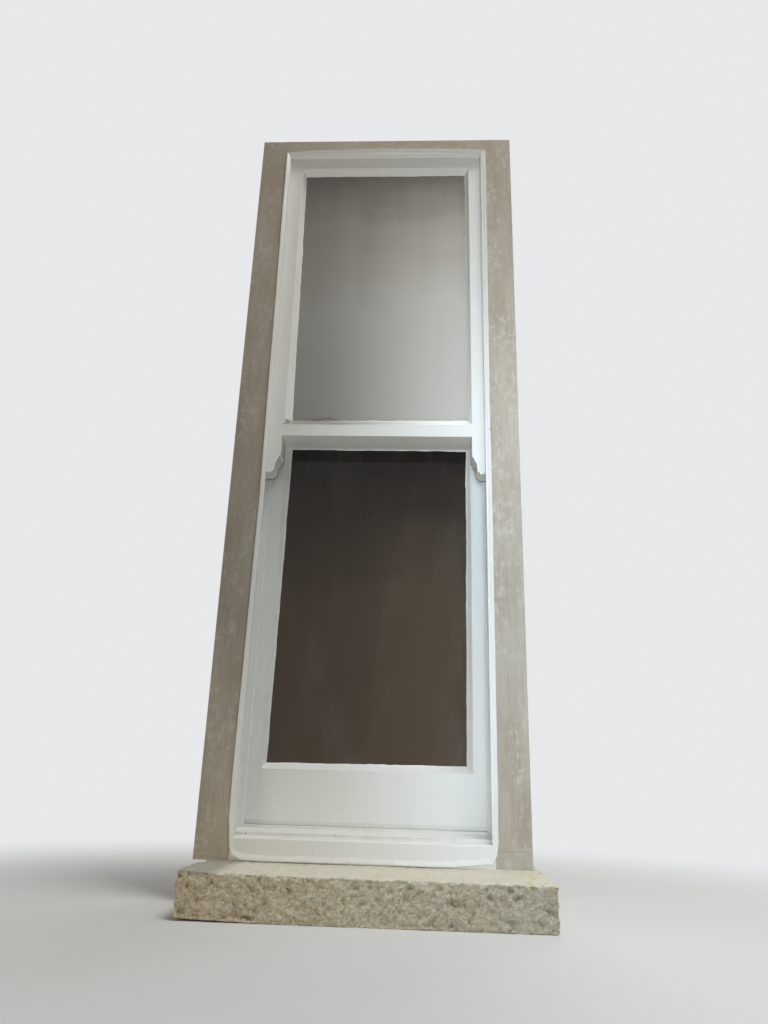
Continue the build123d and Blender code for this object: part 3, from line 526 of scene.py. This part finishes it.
# Finish of each node, by the first of these words that its name holds. The last row takes all others.
FINISHES = (
    ("upper_glass", UPPER_PANE),
    ("lower_glass", LOWER_PANE),
    ("stone_sill", STONE),
    ("putty", PUTTY),
    ("mastic_bead", PUTTY),
    ("weight", IRON),
    ("cord", COTTON),
    ("pulley_axles", STEEL),
    ("pulley_case", BRASS),
    ("wheel", BRASS),
    ("screws", BRASS),
    ("fastener", BRASS),
    ("lift", BRASS),
    ("head_board", TIMBER_ACROSS),
    ("back_lining", TIMBER_UP),
    ("upper_stile", PAINT_HORNS),
    ("rail", PAINT_ACROSS),
    ("_head", FRAME_ACROSS),
    ("_sill", FRAME_ACROSS),
    ("lining", FRAME_UP),
    ("pulley_stile", FRAME_UP),
    ("pocket", FRAME_UP),
    ("", PAINT_UP),
)
for node, carried in NODES.items():
    slots = carried.data.materials
    slots.clear()
    slots.append(next(finish for word, finish in FINISHES if word in node))


# Pieces with a shape of their own


# The angle at which a mesh's edge shows as an edge
SHARP_EDGE = math.radians(42)


def add_piece(name, mesh, material, body, node):
    """Puts a mesh on a body, or on none yet, in the place of the node that it stands for."""
    mesh.materials.append(material)
    for polygon in mesh.polygons:
        polygon.use_smooth = True
    mesh.set_sharp_from_angle(angle=SHARP_EDGE)
    piece = bpy.data.objects.new(name, mesh)
    bpy.context.scene.collection.objects.link(piece)
    if body:
        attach(piece, body)
    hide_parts(node)
    return piece


def skin(name, runs, closed=True):
    """A mesh over runs of equal loops of points. A run that isn't closed gets caps at its ends."""
    made = bmesh.new()
    for loops in runs:
        rows = [[made.verts.new(point) for point in loop] for loop in loops]
        follow = rows[1:] + rows[:1] if closed else rows[1:]
        for row, following in zip(rows, follow):
            for i in range(len(row)):
                j = (i + 1) % len(row)
                made.faces.new((row[i], row[j], following[j], following[i]))
        if not closed:
            made.faces.new(rows[0])
            made.faces.new(rows[-1])
    bmesh.ops.recalc_face_normals(made, faces=made.faces)
    mesh = bpy.data.meshes.new(name)
    made.to_mesh(mesh)
    made.free()
    return mesh


def wander(way, seed, length):
    """Smooth chance from about -1 to 1 on the way along something, with a wavelength."""
    return noise.noise(Vector((way / length, seed * 7.31, seed * 1.93)))


def between(first, second, share):
    return Vector(first) * (1 - share) + Vector(second) * share


# Putty, as the street's side shows it. Corners run top left, bottom left, bottom right, top right.
UPPER_ARRIS = ((-0.2050, 1.6425), (-0.2020, 0.9430), (0.2065, 0.9440), (0.2035, 1.6420))
UPPER_SIGHT = ((-0.1976, 1.6320), (-0.1889, 0.9572), (0.2002, 0.9605), (0.1956, 1.6325))
LOWER_ARRIS = ((-0.2060, 0.9158), (-0.2075, 0.2300), (0.2050, 0.2310), (0.2065, 0.9158))
LOWER_SIGHT = ((-0.1945, 0.9158), (-0.2002, 0.2410), (0.1947, 0.2430), (0.1976, 0.9158))
# The strip along the top of the lower pane runs from right to left
TOP_ARRIS = ((0.2040, 0.9162), (-0.2040, 0.9162))
TOP_SIGHT = ((0.2040, 0.9148), (-0.2040, 0.9152))
# Spacing of the putty's sections, how far its paint laps past it, and how thick that strip is
PUTTY_STEP = 0.005
PUTTY_LAP = 0.0012
TOP_PUTTY = 0.0030
# Outer edge of the putty's rebates, past which its lap reaches at the sides
REBATE_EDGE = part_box("upper_putty")[1].x


def putty_run(front, glass, arris, sight, seed, closed=False):
    """Sections of putty from corner to corner, struck off by knife, with paint lapped on wood and glass."""
    loops = []
    gone = 0.0
    depth = glass - front
    corners = list(zip(arris, sight))
    pairs = list(zip(corners, corners[1:] + corners[:1]))
    for (arris_a, sight_a), (arris_b, sight_b) in pairs if closed else pairs[:-1]:
        steps = round((Vector(sight_b) - Vector(sight_a)).length / PUTTY_STEP)
        last_run = not closed and (arris_b, sight_b) == corners[-1]
        way_on = (Vector(arris_b) - Vector(arris_a)).normalized()
        outward = Vector((way_on.y, -way_on.x))
        if outward.dot(Vector(arris_a) - Vector(sight_a)) < 0:
            outward = -outward
        upright = abs(outward.x) > 0.9
        for step in range(steps + 1 if last_run else steps):
            edge = between(arris_a, arris_b, step / steps)
            toe = between(sight_a, sight_b, step / steps)
            across = (toe - edge).normalized()
            way = gone + step * PUTTY_STEP
            toe = toe + across * (0.0013 * wander(way, seed, 0.055) + 0.0009 * wander(way, seed + 1, 0.014))
            edge = edge + across * 0.0007 * wander(way, seed + 2, 0.06)
            hollow = 0.0009 * wander(way, seed + 3, 0.045)
            lump = 0.0005 * wander(way, seed + 4, 0.011)
            short = max(0.0, REBATE_EDGE - abs(edge.x)) if upright else 0.0
            lap = edge + outward * (PUTTY_LAP + short)
            section = [
                (lap, front - 0.0001),
                (edge - across * PUTTY_LAP * 0.3, front - 0.0003),
                (between(edge, toe, 0.10), front + depth * 0.07),
                (between(edge, toe, 0.33), front + depth * 0.33 + hollow + lump),
                (between(edge, toe, 0.58), front + depth * 0.58 + hollow - lump),
                (between(edge, toe, 0.84), front + depth * 0.84 + hollow * 0.6),
                (toe, glass - 0.0009),
                (toe + across * PUTTY_LAP, glass - 0.00015),
                (toe + across * PUTTY_LAP, glass + 0.0002),
                (lap, glass + 0.0002),
            ]
            loops.append([(flat.x, y, flat.y) for flat, y in section])
        gone += steps * PUTTY_STEP
    return loops


def putty_pieces():
    """The putty round the upper pane, and round three sides and along the top of the lower one."""
    upper_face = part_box("upper_stile_left")[0].y
    lower_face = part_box("lower_stile_left")[0].y
    upper_pane = UPPER_GLASS[0].y
    lower_pane = LOWER_GLASS[0].y
    ring = putty_run(upper_face, upper_pane, UPPER_ARRIS, UPPER_SIGHT, 3, closed=True)
    add_piece("upper_putty_fillet", skin("upper_putty_fillet", [ring]), PUTTY, "upper_sash", "upper_putty")
    runs = [putty_run(lower_face, lower_pane, LOWER_ARRIS, LOWER_SIGHT, 11)]
    runs.append(putty_run(lower_pane - TOP_PUTTY, lower_pane, TOP_ARRIS, TOP_SIGHT, 17))
    fillet = skin("lower_putty_fillet", runs, closed=False)
    add_piece("lower_putty_fillet", fillet, PUTTY, "lower_sash", "lower_putty")


# Outer line of the mastic bead, clockwise as the street sees it from the middle of its foot
MASTIC_LINE = (
    (0.0, 0.0712), (-0.1300, 0.0712), (-0.1880, 0.0710), (-0.2183, 0.0722), (-0.2352, 0.0803),
    (-0.2397, 0.0934), (-0.2445, 0.1384), (-0.2450, 0.1845), (-0.2449, 0.2618), (-0.2425, 0.5000),
    (-0.2400, 0.7829), (-0.2412, 0.9764), (-0.2439, 1.4276), (-0.2449, 1.6400), (-0.2446, 1.6768),
    (-0.1900, 1.6815), (-0.0042, 1.6868), (0.1900, 1.6825), (0.2440, 1.6784), (0.2444, 1.6400),
    (0.2440, 1.2000), (0.2436, 0.9798), (0.2449, 0.7889), (0.2450, 0.4000), (0.2449, 0.1985),
    (0.2443, 0.1154), (0.2417, 0.0936), (0.2344, 0.0780), (0.2000, 0.0755), (0.1600, 0.0715),
)
MASTIC_STEP = 0.006
# Height below which the bead is thicker and less even
MASTIC_FOOT = 0.085


def mastic_bead():
    """Bead round the edge of the frame, smoothed by finger and painted over."""
    points = [Vector(point) for point in MASTIC_LINE]
    line = []
    for point, following in zip(points, points[1:] + points[:1]):
        steps = max(1, round((following - point).length / MASTIC_STEP))
        line += [between(point, following, step / steps) for step in range(steps)]
    loops = []
    for i, point in enumerate(line):
        ahead = (line[(i + 1) % len(line)] - line[i - 1]).normalized()
        inward = Vector((ahead.y, -ahead.x))
        way = i * MASTIC_STEP
        low = 1.0 if point.y < MASTIC_FOOT else 0.0
        width = 0.0090 + low * 0.0014 + 0.0014 * wander(way, 21, 0.12)
        width += (0.0008 + low * 0.0012) * wander(way, 22, 0.02)
        height = 0.0032 + 0.0007 * wander(way, 23, 0.07) + (0.0004 + low * 0.0006) * wander(way, 24, 0.013)
        edge = point + inward * max(0.0, 0.0006 * wander(way, 25, 0.03))
        section = [(0.0, 0.0002), (0.02, -height * 0.7), (0.12, -height), (0.30, -height * 0.96)]
        section += [(0.52, -height * 0.72), (0.76, -height * 0.34), (1.0, -0.0003), (1.0, 0.0002)]
        across = [(edge + inward * width * share, depth) for share, depth in section]
        loops.append([(flat.x, depth, flat.y) for flat, depth in across])
    add_piece("mastic_bead_smoothed", skin("mastic_bead_smoothed", [loops]), PUTTY, "frame", "mastic_bead")


# Stone: its mesh's cells, its arrises, how far the throat's edges lie behind the front, the throat's depth,
# and how far the left end stands up towards the street
STONE_CELL = 0.0028
STONE_ARRIS = 0.0045
THROAT = (0.020, 0.030)
THROAT_DEPTH = 0.006
LEFT_LIFT = 0.004
# Behind the first line its top is hidden and flat, and behind the second its cells are coarse
BED_LINE = -0.004
COARSE_LINE = 0.004
# Pits in its face: place across, height, radius and depth
STONE_PITS = (
    (-0.136, 0.049, 0.0080, 0.0060),
    (-0.140, 0.026, 0.0060, 0.0050),
    (-0.154, 0.021, 0.0070, 0.0040),
    (0.270, 0.037, 0.0060, 0.0060),
    (0.309, 0.041, 0.0070, 0.0050),
    (-0.165, 0.064, 0.0080, 0.0030),
)


def even_places(low, high, cell):
    """Places from low to high, about a cell apart."""
    count = max(1, round((high - low) / cell))
    return [low + (high - low) * i / count for i in range(count + 1)]


def stone_relief(point, normal):
    """How deep the surface lies under the squared block, in metres."""
    coarse = noise.noise(point * 38) * 0.0015
    ripple = noise.noise(point * 95) * 0.0036
    grit = noise.noise(point * 190) * 0.0030
    hole = max(0.0, noise.noise(point * 85 + Vector((3, 1, 2))) - 0.18) * 0.0140
    sides = (1 - abs(normal.z) * 0.80) * (1 - abs(normal.x) * 0.45)
    depth = 0.0024 + (coarse + ripple + grit + hole) * sides
    if normal.y < -0.5:
        for x, z, radius, deep in STONE_PITS:
            away = math.hypot(point.x - x, (point.z - z) * 1.3) / radius
            depth += deep * max(0.0, 1 - away ** 2) * (0.7 + 0.6 * noise.noise(point * 260))
    return max(0.0, depth)


def worn_stone():
    """The sub-sill with broken arrises, pits and a throat cut under its front."""
    low, high = [Vector(corner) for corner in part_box("stone_sill")]
    throat = (low.y + THROAT[0], low.y + THROAT[1])
    xs = even_places(low.x, high.x, STONE_CELL)
    ys = even_places(low.y, throat[0], STONE_CELL)
    for start, end, cell in (
        (*throat, STONE_CELL),
        (throat[1], COARSE_LINE, STONE_CELL * 1.6),
        (COARSE_LINE, high.y, STONE_CELL * 3.5),
    ):
        ys += even_places(start, end, cell)[1:]
    zs = even_places(low.z, high.z, STONE_CELL)
    made = bmesh.new()
    corners = {}

    def corner(i, j, k):
        key = (i, j, k)
        if key not in corners:
            corners[key] = made.verts.new(worn_place(Vector((xs[i], ys[j], zs[k])), low, high, throat))
        return corners[key]

    def sheet(size_a, size_b, place):
        for a in range(size_a - 1):
            for b in range(size_b - 1):
                square = ((a, b), (a + 1, b), (a + 1, b + 1), (a, b + 1))
                made.faces.new([corner(*place(*index)) for index in square])

    last = (len(xs) - 1, len(ys) - 1, len(zs) - 1)
    for end in (0, 1):
        sheet(len(ys), len(zs), lambda a, b: (end * last[0], a, b))
        sheet(len(xs), len(zs), lambda a, b: (a, end * last[1], b))
        sheet(len(xs), len(ys), lambda a, b: (a, b, end * last[2]))
    bmesh.ops.recalc_face_normals(made, faces=made.faces)
    mesh = bpy.data.meshes.new("worn_stone_sill")
    made.to_mesh(mesh)
    made.free()
    add_piece("worn_stone_sill", mesh, STONE, "frame", "stone_sill")


def worn_place(point, low, high, throat):
    """Where a point of the squared block lies after wear."""
    arris = STONE_ARRIS + 0.0018 * noise.noise(point * 60) + 0.0015 * noise.noise(point * 170)
    core = Vector([min(max(p, a + arris), b - arris) for p, a, b in zip(point, low, high)])
    normal = (point - core).normalized()
    place = core + normal * arris
    under_frame = point.y > BED_LINE and point.z > high.z - 0.001
    bedded = point.z < low.z + 0.001
    if not under_frame:
        gone = normal * stone_relief(point, normal)
        place -= Vector((gone.x, gone.y, 0.0 if bedded else gone.z))
    if bedded and throat[0] - 0.001 < point.y < throat[1] + 0.001:
        middle = (throat[0] + throat[1]) / 2
        place.z += THROAT_DEPTH * (1 - min(1.0, abs(point.y - middle) / 0.0052) ** 4)
    lift = min(1.0, max(0.0, (-0.06 - point.x) / 0.22)) ** 2
    street = min(1.0, max(0.0, (-0.012 - point.y) / 0.05))
    place.z += LEFT_LIFT * lift * street
    return place


# Sash cords: their radius, the points round a section and the steps round a pulley
CORD_RADIUS = 0.0030
CORD_SIDES = 14
PULLEY_STEPS = 24
# Their knots, and how far the middle of one lies below the top of the stile or the weight that holds it
KNOT_RADIUS = 0.0055
KNOT_LENGTH = 0.0110
STILE_DROP = 0.2500
WEIGHT_DROP = 0.0360
# Shape of a knot: shares of its length from the top, and of its radius
KNOT_SHAPE = ((0.0, 0.55), (0.14, 0.92), (0.36, 1.0), (0.50, 0.84), (0.66, 1.0), (0.88, 0.90), (1.0, 0.50))
# How far each sash and weight slides
SLIDES = [joint for joint in frame["record"]["behaviour"]["joints"] if "range_m" in joint]
TRAVEL = {joint["name"]: joint["range_m"][1] for joint in SLIDES}


def cord_ring(place, outward, radius):
    """Points round a cord's section. Outward leads away from the middle of its pulley."""
    deep = Vector((0, 1, 0))
    turns = [math.tau * i / CORD_SIDES for i in range(CORD_SIDES)]
    return [place + (outward * math.cos(turn) + deep * math.sin(turn)) * radius for turn in turns]


def knot_rings(x, y, middle, outward):
    """Rings down a knot, from its top."""
    top = middle + KNOT_LENGTH / 2
    rings = []
    for share, wide in KNOT_SHAPE:
        rings.append(cord_ring(Vector((x, y, top - share * KNOT_LENGTH)), outward, KNOT_RADIUS * wide))
    return rings


def sash_cord(level, hand):
    """A cord in three pieces: the long run, its knot, and the rest over the pulley with the other knot."""
    node = f"{level}_cord_{hand}"
    sash, weight = f"{level}_sash", f"{level}_weight_{hand}"
    side = 1 if hand == "right" else -1
    low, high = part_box(node)
    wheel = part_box(f"{level}_pulley_wheel_{hand}")
    hub = (wheel[0] + wheel[1]) / 2
    reach = sorted((abs(low.x), abs(high.x)))
    knot_x = {sash: side * (reach[0] + KNOT_RADIUS), weight: side * (reach[1] - KNOT_RADIUS)}
    knot_z = {
        sash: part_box(f"{level}_stile_{hand}")[1].z - STILE_DROP,
        weight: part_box(weight)[1].z - WEIGHT_DROP,
    }
    pitch = abs(knot_x[weight] - hub.x)
    outward = {sash: Vector((-side, 0, 0)), weight: Vector((side, 0, 0))}
    # At rest the lower sash and the upper weights hang far down, and they go up towards their pulleys
    long_end, short_end = (sash, weight) if level == "lower" else (weight, sash)

    start = hub + outward[long_end] * pitch
    run = hub.z - knot_z[long_end] - KNOT_LENGTH / 2
    ends = (start, start - Vector((0, 0, run)))
    rings = [cord_ring(end, outward[long_end], CORD_RADIUS) for end in ends]
    piece = add_piece(node + "_run", skin(node + "_run", [rings], closed=False), COTTON, "frame", node)
    1 - TRAVEL[long_end + "_slide"] / run
    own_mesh(piece)

    rings = knot_rings(knot_x[long_end], hub.y, knot_z[long_end], outward[long_end])
    add_piece(node + "_knot", skin(node + "_knot", [rings], closed=False), COTTON, long_end, node)

    rings = []
    for step in range(PULLEY_STEPS + 1):
        turn = math.pi * step / PULLEY_STEPS
        direction = outward[long_end] * math.cos(turn) + Vector((0, 0, math.sin(turn)))
        rings.append(cord_ring(hub + direction * pitch, direction, CORD_RADIUS))
    start = hub + outward[short_end] * pitch
    end = Vector((start.x, start.y, knot_z[short_end] + KNOT_LENGTH))
    rings.append(cord_ring(end, outward[short_end], CORD_RADIUS))
    rings += knot_rings(knot_x[short_end], hub.y, knot_z[short_end], outward[short_end])
    mesh = skin(node + "_over_pulley", [rings], closed=False)
    piece = add_piece(node + "_over_pulley", mesh, COTTON, None, node)
    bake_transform(piece)


putty_pieces()
mastic_bead()
worn_stone()
for level in ("upper", "lower"):
    for hand in ("left", "right"):
        sash_cord(level, hand)


# Widths of the soft arrises on painted boards, and on the fittings and all else
PAINTED_ARRIS = 0.0009
FITTING_ARRIS = 0.0004


def soften(node, width):
    """Rounds a node's arrises as coats of paint and years of handling do."""
    bevel = NODES[node].modifiers.new("soft_arrises", "BEVEL")
    bevel.width = width
    bevel.segments = 2
    bevel.limit_method = "ANGLE"
    bevel.angle_limit = math.radians(35)
    bevel.harden_normals = False


for node in NODES:
    if any(part in node for part in ("stile", "rail", "lining", "_bead_", "timber_sill", "pocket")):
        soften(node, PAINTED_ARRIS)
    elif not any(part in node for part in ("screws", "cord", "glass")):
        soften(node, FITTING_ARRIS)


# Floor, light and camera


# Colours of the background and of the glow from all round, and the glow's strength
BACKDROP = (0.80, 0.81, 0.82)
GLOW = (1.0, 0.94, 0.84)
GLOW_STRENGTH = 0.18


def plain_floor():
    """Pale floor that fades into the background, so that no horizon shows."""
    mesh = bpy.data.meshes.new("floor")
    mesh.from_pydata([(-9, -9, 0), (9, -9, 0), (9, 9, 0), (-9, 9, 0)], [], [(0, 1, 2, 3)])
    floor = bpy.data.objects.new("floor", mesh)
    bpy.context.scene.collection.objects.link(floor)
    f = Finish("pale_floor", Roughness=0.9)
    mottle = f.grain((2, 2, 2), detail=2)
    away = f.node("ShaderNodeVectorMath", {"operation": "LENGTH"}, {0: f.spot}, "Value")
    colour = f.mix(mottle * 0.3, (0.72, 0.72, 0.71), (0.68, 0.68, 0.67))
    mesh.materials.append(f.into(Base_Color=colour, Alpha=away.rise(1.7, 0.35)))


def pale_world():
    """A pale background, which shiny pieces mirror, and a faint warm glow from all round."""
    world = bpy.data.worlds.new("pale_room")
    bpy.context.scene.world = world
    world.use_nodes = True
    tree = world.node_tree
    tree.nodes.clear()
    path = tree.nodes.new("ShaderNodeLightPath")
    seen = tree.nodes.new("ShaderNodeBackground")
    seen.inputs[0].default_value = (*BACKDROP, 1)
    lighting = tree.nodes.new("ShaderNodeBackground")
    lighting.inputs[0].default_value = (*GLOW, 1)
    lighting.inputs[1].default_value = GLOW_STRENGTH
    choose = tree.nodes.new("ShaderNodeMixShader")
    out = tree.nodes.new("ShaderNodeOutputWorld")
    shown = path.outputs["Is Camera Ray"]
    for ray in ("Is Glossy Ray", "Is Transmission Ray"):
        either = tree.nodes.new("ShaderNodeMath")
        either.operation = "MAXIMUM"
        tree.links.new(shown, either.inputs[0])
        tree.links.new(path.outputs[ray], either.inputs[1])
        shown = either.outputs[0]
    tree.links.new(shown, choose.inputs[0])
    tree.links.new(lighting.outputs[0], choose.inputs[1])
    tree.links.new(seen.outputs[0], choose.inputs[2])
    tree.links.new(choose.outputs[0], out.inputs[0])


# Soft lights: name, place, aim, size, power, colour, spread in degrees, and whether glossy surfaces show it
LAMPS = (
    ("tall_key", (0.30, -1.45, 0.62), (0.63, 0.0, 0.70),
     (0.34, 1.3), 3.15, (0.69, 0.85, 1.0), 60, False),
    ("right_fill", (-0.75, -1.25, 0.62), (0.26, 0.02, 0.60),
     (0.12, 1.1), 0.34, (0.80, 0.90, 1.0), 26, False),
    ("left_fill", (-0.95, -1.25, 0.05), (-0.30, -0.17, 0.01),
     (0.5, 0.1), 0.24, (1.0, 0.86, 0.66), 45, False),
    ("low_fill", (0.25, -0.95, 0.05), (0.10, 0.03, 1.6),
     (0.8, 0.3), 1.0, (1.0, 0.97, 0.92), 56, False),
    ("high_front", (1.00, -1.10, 2.5), (0.32, -0.14, 0.0),
     (0.8, 0.6), 3.0, (0.88, 0.94, 1.0), 55, False),
    ("overhead", (0.55, -0.42, 3.0), (0.28, -0.12, 0.0),
     (0.9, 0.6), 24.5, (1.0, 0.98, 0.93), 180, True),
    ("back_fill", (0.6, 2.6, 2.2), (0.0, 0.1, 0.9),
     (1.6, 1.6), 26, (1.0, 0.98, 0.95), 180, False),
)


def soft_light(name, place, towards, size, power, colour, spread, mirrored):
    lamp = bpy.data.lights.new(name, "AREA")
    lamp.shape = "RECTANGLE"
    lamp.size, lamp.size_y = size
    lamp.energy = power
    lamp.color = colour
    lamp.spread = math.radians(spread)
    holder = bpy.data.objects.new(name, lamp)
    holder.location = place
    aim = Vector(towards) - Vector(place)
    holder.rotation_euler = aim.to_track_quat("-Z", "Y").to_euler()
    holder.visible_glossy = mirrored
    bpy.context.scene.collection.objects.link(holder)


# The viewpoint, its yaw, pitch and roll in degrees, and in millimetres the lens and its picture's height
EYE = (0.0976, -1.4962, 0.2143)
EYE_TURN = (-2.89, 19.23, 1.69)
LENS = 27.04
PICTURE_HEIGHT = 36


def stand_camera():
    """Looks up and slightly left, from low in front of the sill and a little to the right."""
    yaw, pitch, roll = [math.radians(turn) for turn in EYE_TURN]
    ahead = Vector((math.sin(yaw) * math.cos(pitch), math.cos(yaw) * math.cos(pitch), math.sin(pitch)))
    level = Vector((math.cos(yaw), -math.sin(yaw), 0))
    up = level.cross(ahead)
    right = level * math.cos(roll) + up * math.sin(roll)
    top = up * math.cos(roll) - level * math.sin(roll)
    camera = bpy.data.cameras.new("camera")
    camera.sensor_fit = "VERTICAL"
    camera.sensor_height = PICTURE_HEIGHT
    camera.lens = LENS
    camera.clip_start = 0.02
    holder = bpy.data.objects.new("camera", camera)
    turn = Matrix((right, top, -ahead)).transposed().to_4x4()
    holder.matrix_world = Matrix.Translation(EYE) @ turn
    bpy.context.scene.collection.objects.link(holder)
    bpy.context.scene.camera = holder


plain_floor()
pale_world()
for lamp in LAMPS:
    soft_light(*lamp)
stand_camera()
bpy.context.scene.view_settings.view_transform = "Standard"
